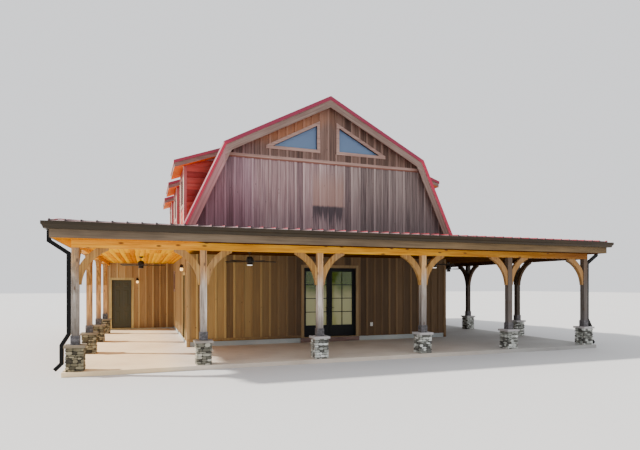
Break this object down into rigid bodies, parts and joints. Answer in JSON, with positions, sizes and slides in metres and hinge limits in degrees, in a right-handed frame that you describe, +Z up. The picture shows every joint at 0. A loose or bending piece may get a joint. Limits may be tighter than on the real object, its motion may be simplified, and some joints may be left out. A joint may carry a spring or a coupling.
{
  "type": "timber barn with a gambrel roof and wraparound porch",
  "caption": "Hollow timber barn with a red ribbed gambrel roof, shed dormers, triangular gable windows, and a wraparound porch on stone piers; its doors swing and its ceiling fans turn.",
  "frame": {"origin": "on the ground at the middle of the whole building's outline", "axes": "+X along the front to the right, +Y from the front to the back, +Z up"},
  "size_m": [15.85, 15.608, 8.2296],
  "materials": {
    "concrete": "broomed concrete, dusty",
    "lower_siding": "stained boards and battens, honey to dark brown",
    "gable_siding": "weathered grey-purple boards and battens",
    "golden_pine": "clear finished knotty pine",
    "post_timber": "rough sawn, silvered towards the foot",
    "grey_board": "rough sawn, grey-brown",
    "loft_boards": "plain boards",
    "red_metal": "ribbed sheet, satin crimson red",
    "dark_metal": "satin dark bronze",
    "ledge_stone": "stacked ledge stone, grey and tan",
    "cap_stone": "sawn light grey stone",
    "door_trim": "stained casing boards",
    "window_trim": "stained frames",
    "black_paint": "satin black",
    "green_paint": "satin olive green",
    "glass": "clear window glass"
  },
  "bodies": {
    "barn": {"foundation": "concrete", "porch_slab": "concrete", "front_wall_left": "lower_siding", "front_wall_right": "lower_siding", "front_gable_wall": "gable_siding", "rear_wall": "gable_siding", "left_wall_front": "lower_siding", "left_wall_rear": "lower_siding", "right_wall": "lower_siding", "walls_over_doors": "lower_siding", "left_wing_front_wall": "lower_siding", "left_wing_side_wall": "lower_siding", "right_wing_front_wall": "lower_siding", "right_wing_side_wall": "lower_siding", "wing_rear_walls": "lower_siding", "loft_floor": "loft_boards", "upper_roof_deck": "golden_pine", "lower_roof_deck": "golden_pine", "upper_roof_sheets": "red_metal", "lower_roof_sheets": "red_metal", "roof_caps": "red_metal", "rake_trims": "red_metal", "barge_boards": "grey_board", "gable_bands": "grey_board", "dormer_walls": "lower_siding", "dormer_roof_boards": "golden_pine", "dormer_roof_sheets": "red_metal", "porch_roof_front": "red_metal", "porch_roof_sides": "red_metal", "porch_ceiling": "golden_pine", "eave_soffit": "golden_pine", "fascia": "grey_board", "gutters": "dark_metal", "downspouts": "dark_metal", "porch_beams": "golden_pine", "posts": "post_timber", "post_boots": "dark_metal", "piers": "ledge_stone", "pier_caps": "cap_stone", "knee_braces": "golden_pine", "door_frames": "door_trim", "window_frames": "window_trim", "window_glass": "glass", "fan_mounts": "dark_metal", "wall_lights": "dark_metal"},
    "french_door_left": {"french_leaf_left": "black_paint", "french_glass_left": "glass"},
    "french_door_right": {"french_leaf_right": "black_paint", "french_glass_right": "glass"},
    "wing_door_leaf": {"wing_door": "green_paint"},
    "side_door_leaf": {"side_door": "black_paint"},
    "fan_left": {"fan_rotor_left": "dark_metal"},
    "fan_front_left": {"fan_rotor_front_left": "dark_metal"},
    "fan_front_right": {"fan_rotor_front_right": "dark_metal"},
    "fan_right": {"fan_rotor_right": "dark_metal"}
  },
  "joints": [
    {"name": "french_left_hinge", "type": "hinge", "parent": "barn", "child": "french_door_left", "pos_m": [-0.942, -3.606, 1.4], "axis": [0, 0, 1], "range_deg": [0, 100]},
    {"name": "french_right_hinge", "type": "hinge", "parent": "barn", "child": "french_door_right", "pos_m": [0.912, -3.606, 1.4], "axis": [0, 0, -1], "range_deg": [0, 100]},
    {"name": "wing_door_hinge", "type": "hinge", "parent": "barn", "child": "wing_door_leaf", "pos_m": [-7.174, 3.434, 1.2], "axis": [0, 0, 1], "range_deg": [0, 90]},
    {"name": "side_door_hinge", "type": "hinge", "parent": "barn", "child": "side_door_leaf", "pos_m": [-4.507, -2.1545, 1.3], "axis": [0, 0, 1], "range_deg": [0, 100]},
    {"name": "fan_left_spin", "type": "hinge", "parent": "barn", "child": "fan_left", "pos_m": [-6, -1.864, 2.65], "axis": [0, 0, 1], "continuous": true},
    {"name": "fan_front_left_spin", "type": "hinge", "parent": "barn", "child": "fan_front_left", "pos_m": [-3.1, -5.489, 2.65], "axis": [0, 0, 1], "continuous": true},
    {"name": "fan_front_right_spin", "type": "hinge", "parent": "barn", "child": "fan_front_right", "pos_m": [2.91, -5.489, 2.65], "axis": [0, 0, 1], "continuous": true},
    {"name": "fan_right_spin", "type": "hinge", "parent": "barn", "child": "fan_right", "pos_m": [5.905, -1.864, 2.65], "axis": [0, 0, 1], "continuous": true}
  ]
}
